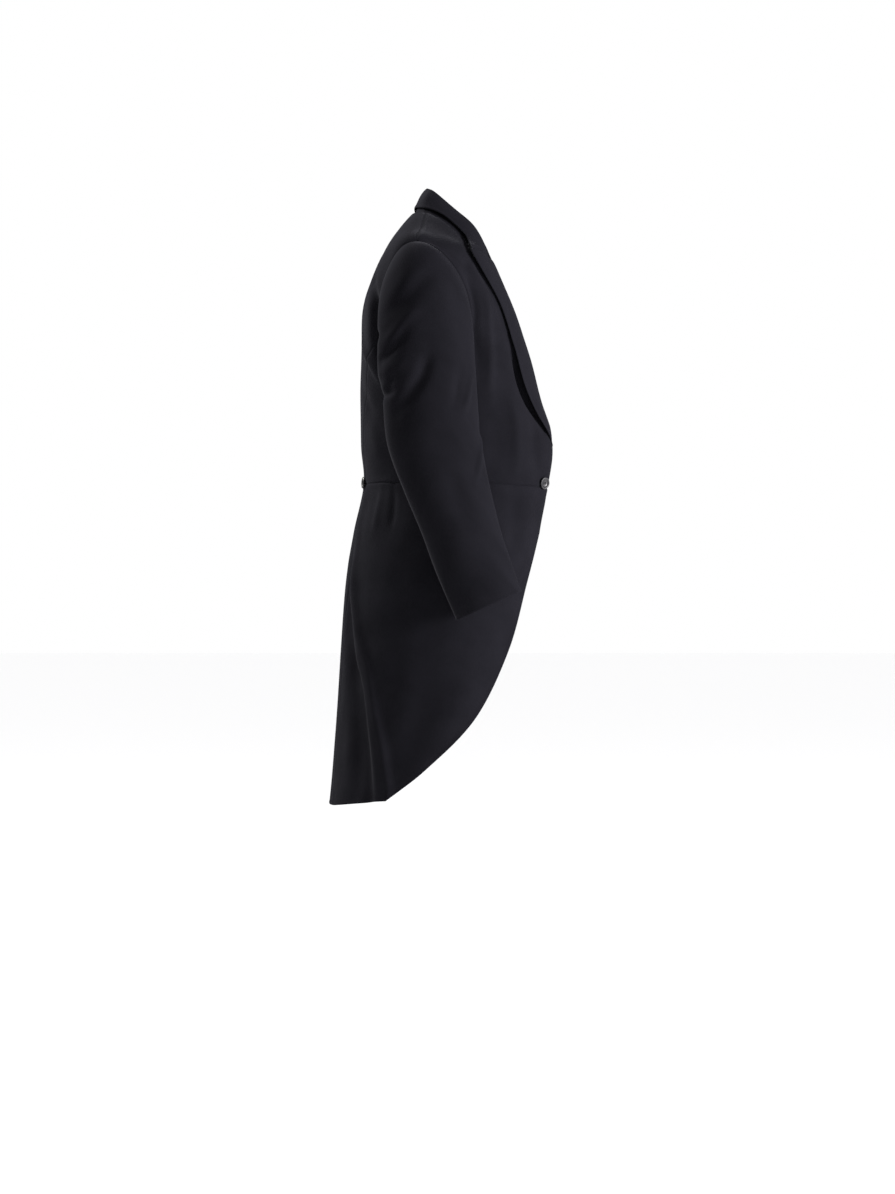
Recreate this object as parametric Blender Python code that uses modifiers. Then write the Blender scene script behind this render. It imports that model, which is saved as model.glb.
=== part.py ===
"""Black morning coat, worn open, as hollow cloth walls. Metres, +Z up, the wearer faces -Y, left is +X."""
import math

import bmesh
import bpy
import numpy as np
from mathutils import Matrix, Vector

COAT = "morning_coat"

# Driving dimensions, in metres
CLOTH = 0.0016  # wall thickness
SEAM = 0.0003  # how far each piece stands back from its seam line
CLEAR = 0.0006  # gap under a piece that lies on another
EDGE_EASE = 0.09  # draws a piece's columns together towards its seams
ROLL = 0.0022  # extra height of the lapel and collar where they turn over
BUTTON_RADIUS = 0.010
BUTTON_THICKNESS = 0.0036
BUTTON_RIM = 0.0008
HIP_SHANK = 0.0018  # the waist is hollow there
FRONT_SHANK = 0.0020
FRONT_TILT = 15  # degrees that the front button hangs turned to the side
HOLE_RADIUS = 0.0009
HOLE_SPACING = 0.0034  # between neighbouring holes
FRONT_ROUND = 1.1  # above 1 is a flatter chest

# Sections of the coat, from the hem to the neck seam, numbered upwards from 0
HEM = 0
WAIST = 6
ARMPIT = 9
SHOULDER = 11
NECK = 13
SECTIONS = [
    # level, back_y, back_z, side_x, side_y, side_z, front_x, front_y, front_z, back_round
    (0, 0.190, -1.0155, 0.188, 0.004, -0.995, 0.080, -0.150, -1.000, 0.92),
    (1, 0.184, -0.952, 0.189, 0.002, -0.946, 0.080, -0.150, -0.950, 0.92),
    (2, 0.177, -0.860, 0.190, -0.001, -0.860, 0.080, -0.152, -0.860, 0.92),
    (3, 0.170, -0.750, 0.190, -0.005, -0.750, 0.080, -0.155, -0.750, 0.92),
    (4, 0.162, -0.640, 0.188, -0.012, -0.640, 0.078, -0.158, -0.640, 0.92),
    (5, 0.148, -0.550, 0.179, -0.024, -0.551, 0.075, -0.168, -0.553, 0.90),
    (6, 0.131, -0.468, 0.163, -0.035, -0.470, 0.072, -0.182, -0.477, 0.86),
    (7, 0.1355, -0.400, 0.166, -0.032, -0.399, 0.072, -0.190, -0.402, 0.80),
    (8, 0.136, -0.320, 0.173, -0.022, -0.320, 0.070, -0.166, -0.324, 0.74),
    (9, 0.134, -0.238, 0.188, -0.006, -0.247, 0.068, -0.143, -0.240, 0.64),
    (10, 0.130, -0.168, 0.212, 0.016, -0.160, 0.067, -0.119, -0.168, 0.62),
    (11, 0.112, -0.113, 0.222, 0.037, -0.079, 0.068, -0.090, -0.102, 0.84),
    (12, 0.079, -0.045, 0.150, 0.030, -0.043, 0.0685, -0.083, -0.094, 0.90),
    (13, 0.036, 0.008, 0.076, 0.022, -0.002, 0.070, -0.074, -0.088, 0.86),
]

# Seams and edges, as turn (0 centre back, 1 side, 2 front edge) at each level
BACK_SEAM = [(6, 0.141), (7, 0.19), (8, 0.27), (9, 0.44), (9.5, 0.68)]  # level, turn
PLEAT = [(0, 0.19), (3, 0.17), (6, 0.141)]  # level, turn
LAPEL_EDGE = [  # level, turn
    (6.95, 1.96),
    (7.3, 1.78),
    (8, 1.66),
    (9, 1.645),
    (10, 1.625),
    (10.75, 1.53),
    (11, 1.50),
]
LAPEL_TOP = [(0, 11.35), (0.6, 11.35), (1, 10.75)]  # share of the width from the roll, level
CUTAWAY = [  # level, y of the skirt's front edge
    (0, 0.088),
    (1, 0.023),
    (2, -0.060),
    (3, -0.115),
    (4, -0.146),
    (5, -0.168),
    (6, -0.182),
]
SKIRT_FOLDS = [
    # height, width, then the turn at levels 0, 1, 2, 3, 4, 5 and 6
    (0.006, 0.018, 0.66, 0.64, 0.57, 0.44, 0.28, 0.20, 0.17),
    (-0.008, 0.016, 0.50, 0.48, 0.42, 0.31, 0.20, 0.13, 0.10),
]
FOLD_FADE = 2.5  # levels below the waist over which the folds grow
HEM_FADE = 0.6  # levels above the hem over which they flatten again

ARMHOLE_LEVEL = 10
ARMHOLE_BACK = 0.37  # turn from its middle to its back edge
ARMHOLE_FRONT = 0.33
ARMHOLE_STEP = 15  # degrees round the armhole between rows
SEAM_AT_ARMHOLE = ARMHOLE_LEVEL - math.cos(math.radians(4 * ARMHOLE_STEP))  # where the back seam reaches it
TIP = 0.012  # the side body's point stops this share of a level short

COLLAR = [
    # turn, fold_x, fold_y, fold_z, edge_turn, edge_level
    (0.0, 0.000, 0.0240, 0.036, 0.00, 12.88),
    (0.5, 0.047, 0.0180, 0.032, 0.50, 12.88),
    (1.0, 0.064, 0.0000, 0.019, 1.00, 12.85),
    (1.25, 0.067, -0.0273, -0.005, 1.24, 12.72),
    (1.5, 0.068, -0.0560, -0.032, 1.45, 12.55),
    (1.75, 0.068, -0.0785, -0.066, 1.57, 12.25),
    (2.0, 0.068, -0.0900, -0.091, 1.64, 11.90),
]
NECK_CENTRE_Y = -0.02

SLEEVE = [
    # place, centre_x, centre_y, centre_z, half_across, half_fore_aft, lean_degrees
    (0.0, 0.245, 0.022, -0.270, 0.054, 0.0790, 0),
    (1.0, 0.246, 0.016, -0.330, 0.053, 0.0775, 3),
    (2.0, 0.249, 0.009, -0.405, 0.052, 0.0760, 9),
    (3.0, 0.250, -0.009, -0.470, 0.049, 0.0695, 16),
    (4.0, 0.249, -0.030, -0.535, 0.046, 0.0630, 20),
    (5.0, 0.247, -0.051, -0.600, 0.043, 0.0605, 22),
    (6.0, 0.245, -0.081, -0.675, 0.041, 0.0580, 24),
]
CAP_SHARE = 0.36  # share of the sleeve's rows that form its head
FORE_SEAM = 120  # degrees round the sleeve from its outer side, forwards
HIND_SEAM = 255
WOOL = ("black_wool", (0.0135, 0.0130, 0.0165), 0.82)
BUTTON = ("dark_button", (0.018, 0.018, 0.021), 0.22)


def track(table, at):
    """Each column of a table at the places asked for, on a smooth curve through its rows."""
    rows = np.array(table, float)
    knots, values = rows[:, 0], rows[:, 1:]
    slopes = np.gradient(values, knots, axis=0)
    at = np.clip(np.asarray(at, float), knots[0], knots[-1])
    i = np.clip(np.searchsorted(knots, at, side="right") - 1, 0, len(knots) - 2)
    step = (knots[i + 1] - knots[i])[..., None]
    u = ((at - knots[i])[..., None]) / step
    start = values[i] * (1 + 2 * u) * (1 - u) ** 2 + slopes[i] * step * u * (1 - u) ** 2
    end = values[i + 1] * (3 - 2 * u) * u**2 + slopes[i + 1] * step * u**2 * (u - 1)
    return np.moveaxis(start + end, -1, 0)


def form(turn, level):
    """A point on the outside of the coat's body, left half."""
    turn, level = np.broadcast_arrays(np.asarray(turn, float), np.asarray(level, float))
    back_y, back_z, side_x, side_y, side_z, front_x, front_y, front_z, back_round = track(SECTIONS, level)
    angle = np.clip(turn, 0, 1) * math.pi / 2
    ahead = np.clip(turn - 1, 0, 1) * math.pi / 2
    behind = turn < 1
    across = np.abs(np.sin(angle)) ** back_round
    along = np.abs(np.cos(angle)) ** back_round
    x_ahead = front_x + (side_x - front_x) * np.abs(np.cos(ahead)) ** FRONT_ROUND
    y_behind = side_y + (back_y - side_y) * along
    y_ahead = side_y + (front_y - side_y) * np.abs(np.sin(ahead)) ** FRONT_ROUND
    z_behind = side_z + (back_z - side_z) * np.cos(angle) ** 2
    z_ahead = side_z + (front_z - side_z) * np.sin(ahead) ** 2
    x = np.where(behind, side_x * across, x_ahead)
    return np.stack([x, np.where(behind, y_behind, y_ahead), np.where(behind, z_behind, z_ahead)], -1)


def outward(turn, level):
    """The body's outward direction there."""
    step = 0.004
    low, high = np.clip(turn - step, 0, 2), np.clip(turn + step, 0, 2)
    round_it = form(high, level) - form(low, level)
    up_it = form(turn, np.clip(level + step, 0, NECK)) - form(turn, np.clip(level - step, 0, NECK))
    normal = np.cross(up_it, round_it)
    return normal / np.maximum(np.linalg.norm(normal, axis=-1, keepdims=True), 1e-12)


def turn_at_y(y, level):
    """The turn where the body has this y."""
    back_y, _, _, side_y, _, _, front_y, _, back_round = track(SECTIONS, level)
    ahead = np.clip((side_y - y) / (side_y - front_y), 0, 1) ** (1 / FRONT_ROUND)
    behind = np.clip((y - side_y) / (back_y - side_y), 0, 1) ** (1 / back_round)
    return np.where(y < side_y, 1 + np.arcsin(ahead) * 2 / math.pi, np.arccos(behind) * 2 / math.pi)


def skirt_form(turn, level):
    """The body below the waist, with the skirt's folds, which fade out at the waist seam."""
    point = form(turn, level)
    lift = np.zeros(np.shape(turn))
    for height, width, *turns in SKIRT_FOLDS:
        middle = track(list(enumerate(turns)), level)[0]
        apart = np.linalg.norm(point - form(middle, level), axis=-1)
        fade = np.clip((WAIST - level) / FOLD_FADE, 0, 1)
        fade = fade * np.clip((level + HEM_FADE) / (3 * HEM_FADE), 0, 1)
        lift += height * fade * np.exp(-((apart / width) ** 2))
    return point + outward(turn, level) * lift[..., None]


def armhole(degrees):
    """Turn and level of the armhole, from the shoulder forwards."""
    angle = np.radians(degrees)
    reach = np.where(np.sin(angle) > 0, ARMHOLE_FRONT, ARMHOLE_BACK)
    return 1 + reach * np.sin(angle), ARMHOLE_LEVEL + np.cos(angle)


def armhole_turn(level, ahead):
    """The turn of the armhole's front or back edge at a level."""
    half = np.sqrt(np.clip(1 - (level - ARMHOLE_LEVEL) ** 2, 0, 1))
    return 1 + half * ARMHOLE_FRONT if ahead else 1 - half * ARMHOLE_BACK


def back_surface(s, level):
    """The back, from the hem to the neck in one length, beside the centre seam."""
    seam = np.where(level < WAIST, track(PLEAT, level)[0], track(BACK_SEAM, level)[0])
    above = np.where(level < SHOULDER, armhole_turn(level, False), 1.0)
    edge = np.where(level <= SEAM_AT_ARMHOLE, seam, above)
    return np.where((level < WAIST)[..., None], skirt_form(edge * s, level), form(edge * s, level))


def side_surface(s, level):
    """The side body, from the waist seam to the back of the armhole."""
    inner = track(BACK_SEAM, level)[0]
    outer = np.where(level < ARMPIT, 1.0, armhole_turn(level, False))
    return form(inner + (outer - inner) * s, level)


def fore_surface(s, level):
    """The forepart, from the waist seam to the shoulder and neck seams, out to where the lapel turns."""
    at_armhole = (level >= ARMPIT) & (level < SHOULDER)
    inner = np.where(at_armhole, armhole_turn(level, True), 1.0)
    return form(inner + (2 - inner) * s, level)


def skirt_surface(s, level):
    """The skirt, from the pleat under the hip button to the cut-away front edge."""
    inner = track(PLEAT, level)[0]
    outer = turn_at_y(track(CUTAWAY, level)[0], level)
    return skirt_form(inner + (outer - inner) * s**1.25, level)


def lapel_surface(s, level):
    """The lapel, on the forepart's points moved out, from the roll line to its free edge."""
    rise = track(LAPEL_TOP, s)[0] - SHOULDER
    level = level + rise * np.clip((level - ARMHOLE_LEVEL) / (SHOULDER - ARMHOLE_LEVEL), 0, 1) ** 4
    turn = 2 + (track(LAPEL_EDGE, level)[0] - 2) * s
    lift = CLOTH + 2 * CLEAR + ROLL * (1 - s) ** 2 * np.clip(level - LAPEL_EDGE[0][0], 0, 1)
    return form(turn, level) + outward(turn, level) * lift[..., None]


def collar_surface(way, t):
    """The collar, from one gorge round the neck to the other: up its stand and down its leaf."""
    turn = np.abs(way)
    fold_x, fold_y, fold_z, edge_turn, edge_level = track(COLLAR, turn)
    seam = form(turn, NECK) + np.array([0, 0, 2 * SEAM])
    fold = np.stack([fold_x, fold_y, fold_z], -1)
    away = fold * [1, 1, 0] - [0, NECK_CENTRE_Y, 0]
    away = away / np.linalg.norm(away, axis=-1, keepdims=True)
    crest = fold + away * 2 * ROLL
    edge = form(edge_turn, edge_level) + outward(edge_turn, edge_level) * (CLOTH + CLEAR)
    stops = np.array([0, 0.4, 0.56, 1])
    weights = [np.interp(t, stops, row)[..., None] for row in np.eye(4)]
    point = weights[0] * seam + weights[1] * fold + weights[2] * crest + weights[3] * edge
    return point * np.stack([np.sign(way), np.ones_like(way), np.ones_like(way)], -1)


def sleeve_ring(place, degrees):
    """A point round the arm of the sleeve, from its outer side forwards."""
    x, y, z, across, fore_aft, lean = track(SLEEVE, place)
    angle, lean = np.radians(degrees), np.radians(lean)
    ahead = fore_aft * np.sin(angle)
    return np.stack([x + across * np.cos(angle), y - ahead * np.cos(lean), z + ahead * np.sin(lean)], -1)


def sleeve_surface(degrees, t):
    """The sleeve, from the armhole over its head and down to the cuff."""
    turn, level = armhole(degrees)
    root = form(turn, level)
    middle = form(1.0, ARMHOLE_LEVEL)
    inward = middle - root
    root = root + inward / np.linalg.norm(inward, axis=-1, keepdims=True) * 4 * SEAM
    ring = sleeve_ring(np.zeros_like(t), degrees)
    reach = np.linalg.norm(ring - root, axis=-1, keepdims=True)
    backwards = 0.2 * np.clip(-np.sin(np.radians(degrees)), 0, 1)
    rise = np.stack([np.ones_like(t), backwards, 0.25 * np.cos(np.radians(degrees))], -1)
    u = np.clip(t / CAP_SHARE, 0, 1)[..., None]
    first, second = root + rise * reach * 0.35, ring + np.array([0, 0, 0.5]) * reach
    head = root * (1 - u) ** 3 + 3 * first * u * (1 - u) ** 2 + 3 * second * u**2 * (1 - u) + ring * u**3
    arm = sleeve_ring(SLEEVE[-1][0] * np.clip((t - CAP_SHARE) / (1 - CAP_SHARE), 0, 1), degrees)
    return np.where((t < CAP_SHARE)[..., None], head, arm)


def within(values):
    """The same values, with the two ends drawn a little inwards."""
    low, high = values.min(), values.max()
    return np.clip(values, low + (high - low) * 0.02, high - (high - low) * 0.02)


def even(low, high, count):
    """Even steps from low to high."""
    return list(np.linspace(low, high, count + 1))


def eased(count):
    """Shares from 0 to 1, closer together at both ends."""
    s = np.linspace(0, 1, count + 1)
    return list(s - EDGE_EASE * np.sin(2 * np.pi * s))


def finish(name, colour, roughness):
    """A material of one colour."""
    material = bpy.data.materials.new(name)
    material.use_nodes = True
    shader = material.node_tree.nodes["Principled BSDF"]
    shader.inputs["Base Color"].default_value = (*colour, 1)
    shader.inputs["Roughness"].default_value = roughness
    shader.inputs["Metallic"].default_value = 0
    return material


def cloth_piece(name, surface, across, along, side, runs_up, folder):
    """A cloth wall on a surface at the places across and along it, its borders a little inside the seams."""
    bm = bmesh.new()
    bmesh.ops.create_grid(bm, x_segments=len(across) - 1, y_segments=len(along) - 1, size=1.0)
    if runs_up == (side > 0):
        bmesh.ops.reverse_faces(bm, faces=bm.faces[:])
    mesh = bpy.data.meshes.new(name)
    bm.to_mesh(mesh)
    bm.free()
    flat = np.empty(3 * len(mesh.vertices))
    mesh.vertices.foreach_get("co", flat)
    share = flat.reshape(-1, 3)[:, :2] / 2 + 0.5
    s = np.array(across)[np.rint(share[:, 0] * (len(across) - 1)).astype(int)]
    t = np.array(along)[np.rint(share[:, 1] * (len(along) - 1)).astype(int)]
    points = surface(s, t)
    for a, b in ((within(s), t), (s, within(t))):
        inwards = surface(a, b) - surface(s, t)
        length = np.linalg.norm(inwards, axis=-1, keepdims=True)
        points = points + inwards / np.maximum(length, 1e-9) * SEAM * (length > 1e-9)
    points[:, 0] *= side
    mesh.vertices.foreach_set("co", points.ravel())
    mesh.materials.append(finish(name + "_" + WOOL[0], *WOOL[1:]))
    mesh.shade_smooth()
    piece = bpy.data.objects.new(name, mesh)
    folder.objects.link(piece)
    wall = piece.modifiers.new("cloth", "SOLIDIFY")
    wall.thickness = CLOTH
    wall.offset = -1
    return piece


def button(name, turn, level, shank, tilt, side, folder, cutters):
    """A four-hole button on its shank of thread, on the coat's outside."""
    base, normal = form(turn, level), outward(turn, level)
    base, normal = Vector(base * [side, 1, 1]), Vector(normal * [side, 1, 1])
    forwards = Matrix.Rotation(math.radians(tilt) * side, 3, "Z") @ normal
    facing = forwards.to_track_quat("Z", "Y").to_matrix().to_4x4()
    middle = base + normal * (shank + BUTTON_THICKNESS / 2)
    bm = bmesh.new()
    bmesh.ops.create_cone(
        bm, cap_ends=True, segments=28, radius1=BUTTON_RADIUS, radius2=BUTTON_RADIUS, depth=BUTTON_THICKNESS
    )
    mesh = bpy.data.meshes.new(name)
    bm.to_mesh(mesh)
    bm.free()
    mesh.materials.append(finish(name + "_" + BUTTON[0], *BUTTON[1:]))
    piece = bpy.data.objects.new(name, mesh)
    folder.objects.link(piece)
    piece.matrix_world = Matrix.Translation(middle) @ facing
    rim = piece.modifiers.new("rim", "BEVEL")
    rim.width = BUTTON_RIM
    rim.segments = 2
    mesh.shade_smooth()
    for i in range(4):
        angle = math.radians(45 + 90 * i)
        reach = HOLE_SPACING / math.sqrt(2)
        hole = bmesh.new()
        depth = 3 * BUTTON_THICKNESS
        bmesh.ops.create_cone(
            hole, cap_ends=True, segments=8, radius1=HOLE_RADIUS, radius2=HOLE_RADIUS, depth=depth
        )
        cut_mesh = bpy.data.meshes.new(f"{name}_hole_{i}")
        hole.to_mesh(cut_mesh)
        hole.free()
        cutter = bpy.data.objects.new(f"{name}_hole_{i}", cut_mesh)
        cutters.objects.link(cutter)
        spot = Vector((reach * math.cos(angle), reach * math.sin(angle), 0))
        cutter.matrix_world = Matrix.Translation(middle) @ facing @ Matrix.Translation(spot)
        cutter.hide_render = True
        cutter.display_type = "WIRE"
        cut = piece.modifiers.new(f"hole_{i}", "BOOLEAN")
        cut.operation = "DIFFERENCE"
        cut.object = cutter
    return piece


def build():
    for old in list(bpy.data.objects):
        bpy.data.objects.remove(old)
    folder = bpy.data.collections.new(COAT)
    cutters = bpy.data.collections.new("cutters")
    for collection in (folder, cutters):
        bpy.context.scene.collection.children.link(collection)

    hole_levels = [float(armhole(180 - degrees)[1]) for degrees in range(0, 181, ARMHOLE_STEP)]
    above_waist = even(WAIST, ARMPIT, 5) + hole_levels[1:] + even(SHOULDER, NECK, 4)[1:]
    skirt_levels = even(HEM, WAIST, 10)
    side_levels = [level for level in above_waist if level < SEAM_AT_ARMHOLE - 0.001]
    lapel_start = LAPEL_EDGE[0][0]
    lapel_levels = [lapel_start] + [level for level in above_waist if lapel_start < level <= SHOULDER]
    sleeve_rows = even(0, CAP_SHARE, 5) + even(CAP_SHARE, 1, 8)[1:]
    top_degrees = list(range(HIND_SEAM - 360, FORE_SEAM + 1, ARMHOLE_STEP))
    under_degrees = list(range(FORE_SEAM, HIND_SEAM + 1, ARMHOLE_STEP))
    half_step = ARMHOLE_STEP / 2
    under_degrees = sorted(under_degrees + [FORE_SEAM + half_step, HIND_SEAM - half_step])
    pieces = [
        # name, surface, places across, places along, whether it runs upwards and away from the back
        ("back", back_surface, eased(5), skirt_levels + above_waist[1:], True),
        ("side_body", side_surface, eased(4), side_levels + [SEAM_AT_ARMHOLE - TIP], True),
        ("forepart", fore_surface, eased(8), above_waist, True),
        ("skirt", skirt_surface, eased(13), skirt_levels, True),
        ("lapel", lapel_surface, even(0, 1, 6), lapel_levels, False),
        ("top_sleeve", sleeve_surface, top_degrees, sleeve_rows, False),
        ("under_sleeve", sleeve_surface, under_degrees, sleeve_rows, False),
    ]
    for word, side in (("left", 1), ("right", -1)):
        for name, surface, across, along, runs_up in pieces:
            cloth_piece(f"{name}_{word}", surface, across, along, side, runs_up, folder)
        button(f"hip_button_{word}", 0.141, WAIST + 0.03, HIP_SHANK, 0, side, folder, cutters)
    cloth_piece("collar", collar_surface, even(-2, 2, 32), even(0, 1, 8), 1, False, folder)
    button("front_button", 1.78, WAIST + 0.1, FRONT_SHANK, FRONT_TILT, -1, folder, cutters)


build()
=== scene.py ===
"""Black morning coat, worn open: its looks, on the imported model's frame.

In metres. The wearer faces -Y, and the wearer's left is +X.
"""

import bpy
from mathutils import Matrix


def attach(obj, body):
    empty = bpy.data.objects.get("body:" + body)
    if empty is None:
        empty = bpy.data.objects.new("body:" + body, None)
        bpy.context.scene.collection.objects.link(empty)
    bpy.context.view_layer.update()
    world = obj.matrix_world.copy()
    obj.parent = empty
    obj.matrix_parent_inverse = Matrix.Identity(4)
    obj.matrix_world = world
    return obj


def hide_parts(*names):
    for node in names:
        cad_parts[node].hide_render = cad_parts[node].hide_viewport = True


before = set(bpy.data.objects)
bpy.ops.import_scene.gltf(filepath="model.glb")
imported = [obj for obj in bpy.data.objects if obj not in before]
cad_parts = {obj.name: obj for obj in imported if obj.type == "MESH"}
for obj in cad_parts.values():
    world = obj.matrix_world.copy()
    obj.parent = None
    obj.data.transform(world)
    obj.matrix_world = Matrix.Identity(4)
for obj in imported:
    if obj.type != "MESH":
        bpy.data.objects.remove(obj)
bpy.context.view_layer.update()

import math

import bpy
import numpy as np
from mathutils import Matrix, Vector

# The coat's form, as in the model. A turn runs round half the body, from the middle of the back, 0, over the
# side, 1, to the middle of the front, 2. A level runs up the body, from the hem, 0, to the neck, 13.
CLOTH = 0.0016  # thickness of the solids' cloth
CLEAR = 0.0006  # between layers that are turned over each other
ROLL = 0.0022  # radius of the lapel's roll and of the collar's fold
SEAM = 0.0003  # between pieces that are sewn together
FRONT_ROUND = 1.1
HEM = 0
WAIST = 6
ARMPIT = 9
SHOULDER = 11
NECK = 13
SECTIONS = [
    # level, back_y, back_z, side_x, side_y, side_z, front_x, front_y, front_z, back_round
    (0, 0.190, -1.0155, 0.188, 0.004, -0.995, 0.080, -0.150, -1.000, 0.92),
    (1, 0.184, -0.952, 0.189, 0.002, -0.946, 0.080, -0.150, -0.950, 0.92),
    (2, 0.177, -0.860, 0.190, -0.001, -0.860, 0.080, -0.152, -0.860, 0.92),
    (3, 0.170, -0.750, 0.190, -0.005, -0.750, 0.080, -0.155, -0.750, 0.92),
    (4, 0.162, -0.640, 0.188, -0.012, -0.640, 0.078, -0.158, -0.640, 0.92),
    (5, 0.148, -0.550, 0.179, -0.024, -0.551, 0.075, -0.168, -0.553, 0.90),
    (6, 0.131, -0.468, 0.163, -0.035, -0.470, 0.072, -0.182, -0.477, 0.86),
    (7, 0.1355, -0.400, 0.166, -0.032, -0.399, 0.072, -0.190, -0.402, 0.80),
    (8, 0.136, -0.320, 0.173, -0.022, -0.320, 0.070, -0.166, -0.324, 0.74),
    (9, 0.134, -0.238, 0.188, -0.006, -0.247, 0.068, -0.143, -0.240, 0.64),
    (10, 0.130, -0.168, 0.212, 0.016, -0.160, 0.067, -0.119, -0.168, 0.62),
    (11, 0.112, -0.113, 0.222, 0.037, -0.079, 0.068, -0.090, -0.102, 0.84),
    (12, 0.079, -0.045, 0.150, 0.030, -0.043, 0.0685, -0.083, -0.094, 0.90),
    (13, 0.036, 0.008, 0.076, 0.022, -0.002, 0.070, -0.074, -0.088, 0.86),
]
BACK_SEAM = [(6, 0.141), (7, 0.19), (8, 0.27), (9, 0.44), (9.5, 0.68)]  # level, turn
PLEAT = [(0, 0.19), (3, 0.17), (6, 0.141)]  # level, turn
LAPEL_EDGE = [(6.95, 1.96), (7.3, 1.78), (8, 1.66), (9, 1.645), (10, 1.625), (10.75, 1.53), (11, 1.50)]
LAPEL_TOP = [(0, 11.84), (0.36, 11.78), (0.72, 11.55), (1, 11.10)]  # share of the width from the roll, level
CUTAWAY = [
    # level, y
    (0, 0.088), (1, 0.023), (2, -0.060), (3, -0.115), (4, -0.146), (5, -0.168), (6, -0.182),
]
SKIRT_FOLDS = [
    # height, width, then the turn at levels 0, 1, 2, 3, 4, 5 and 6
    (0.006, 0.018, 0.66, 0.64, 0.57, 0.44, 0.28, 0.20, 0.17),
    (-0.008, 0.016, 0.50, 0.48, 0.42, 0.31, 0.20, 0.13, 0.10),
]
FOLD_FADE = 2.5
HEM_FADE = 0.6
ARMHOLE_LEVEL = 10
ARMHOLE_BACK = 0.37
ARMHOLE_FRONT = 0.33
SEAM_AT_ARMHOLE = ARMHOLE_LEVEL - math.cos(math.radians(60))
TIP = 0.012
COLLAR = [
    # turn, fold_x, fold_y, fold_z, edge_turn, edge_level
    (0.0, 0.000, 0.0240, 0.036, 0.00, 12.88),
    (0.5, 0.047, 0.0180, 0.032, 0.50, 12.88),
    (1.0, 0.064, 0.0000, 0.019, 1.00, 12.85),
    (1.25, 0.067, -0.0273, -0.005, 1.24, 12.72),
    (1.5, 0.068, -0.0560, -0.032, 1.44, 12.42),
    (1.75, 0.068, -0.0785, -0.066, 1.495, 11.80),
    (2.0, 0.068, -0.0900, -0.091, 1.53, 11.20),
]
NECK_CENTRE_Y = -0.02
SLEEVE = [
    # place, centre_x, centre_y, centre_z, half_across, half_fore_aft, lean_degrees
    (0.0, 0.245, 0.022, -0.270, 0.054, 0.0790, 0),
    (1.0, 0.246, 0.016, -0.330, 0.053, 0.0775, 3),
    (2.0, 0.249, 0.009, -0.405, 0.052, 0.0760, 9),
    (3.0, 0.250, -0.009, -0.470, 0.049, 0.0695, 16),
    (4.0, 0.249, -0.030, -0.535, 0.046, 0.0630, 20),
    (5.0, 0.247, -0.051, -0.600, 0.043, 0.0605, 22),
    (6.0, 0.245, -0.081, -0.675, 0.041, 0.0580, 24),
]
CAP_SHARE = 0.36
FORE_SEAM = 120
HIND_SEAM = 255

# How the cloth is laid out and how it lies
MM = 0.001
WALL = 0.0015  # thickness of the shown cloth
SPACING = 0.0038  # between rows and columns away from the borders
LAPEL_SPACING = 0.0024
COLLAR_SPACING = 0.003
RULER_ROWS, RULER_COLUMNS = 1500, 400  # places at which a piece is measured before it is laid out
SHORT_LINE = 5  # a line under this many border widths has its border's rows drawn together
SKIRT_SPREAD = 1.25  # the skirt's columns are closer together towards the pleat
NEAR = np.array([0.0001, 0.0006, 0.0012, 0.0020, 0.0031, 0.0046, 0.0066])  # rows and columns at a border
SEAM_DEPTH, WAIST_DEPTH, SEAM_WIDTH = 0.0005, 0.0010, 0.0014
ALLOWANCE, ALLOWANCE_AT, ALLOWANCE_WIDTH = 0.00025, 0.0058, 0.0035  # the seam's turned edges show through
EDGE_DROP, EDGE_DROP_WIDTH = 0.0005, 0.0008
EDGE_SWELL, EDGE_SWELL_AT, EDGE_SWELL_WIDTH = 0.0005, 0.0030, 0.0026
RIPPLE = 0.0004
RIPPLE_WAVES, RIPPLE_SUM = 10, 2.2  # so many waves, and about what they add up to
RIPPLE_SHORTEST, RIPPLE_LONGEST = 0.035, 0.11
LEFT_SEED, RIGHT_SEED = 7, 23
CALM = 0.014  # the ripple dies out this close to a border
ARMHOLE_CALM = 0.015  # the body's folds die out this close to the armhole
HEAD_CALM = 0.02  # and the sleeve's folds this close to it
HEAD_SWELL, HEAD_SWELL_AT, HEAD_SWELL_WIDTH = 0.0005, 0.009, 0.007
FOLD_END = 0.38  # share of a fold's length over which it begins and ends
FOLD_POINTS = 29
LAPEL_VALLEYS = 0.3  # share of the body's valleys that shows on the lapel over them
SHOULDER_SOFT, SHOULDER_ROUNDS = 0.9, 160  # how far the forepart's shoulder is evened out
SHOULDER_FROM, SHOULDER_OVER = 10.2, 0.6  # the levels where that begins
SHOULDER_KEPT, SHOULDER_KEPT_OVER = 0.004, 0.012  # the distance to a border where it stops
TURNED = {
    # how far the cloth runs on past a border of this kind, and how deep it ends there, under the next piece
    "seam": (0.0040, 0.0024), "waist": (0.0040, 0.0024), "vent": (0.0040, 0.0024), "gorge": (0.0016, 0.0012),
    "stand": (0.0040, -0.0008),
}
TURN_FIRST, TURN_FIRST_DEEP = 0.0006, 0.2  # how far on its first row is, and its share of the depth
WRAP = 0.25  # share of the lapel's columns that turn round its roll
LOOSE = 0.0022  # how far the free edges of the lapel and collar stand off
BELLY, BELLY_AT, BELLY_HEIGHT = 0.0030, 8.0, 1.0  # the lapel stands off further round this level
LAPEL_FLAT = 0.05  # share of the lapel's stand that is left at its lower end
ROLL_FLAT = 0.6  # how near the roll's two sides are there
TOP_REACH = 4  # the lapel's sloping top fades out down to the armhole's level with this power
GORGE_SHARE = 0.97  # share of the lapel's top that the collar is sewn to
DRAWN_TURN, DRAWN_TURNS = 1.45, 0.55  # the collar is drawn to the lapel from this turn on, over so many
DRAWN_T, DRAWN_TS = 0.3, 0.2  # and from this share of its height on, over so much of it
COLLAR_STOPS = (0, 0.36, 0.43, 0.5, 0.75, 1)  # seam, fold, top, crest, fall and edge
COLLAR_TOP = 0.0016  # rise of the top over the fold
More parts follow.
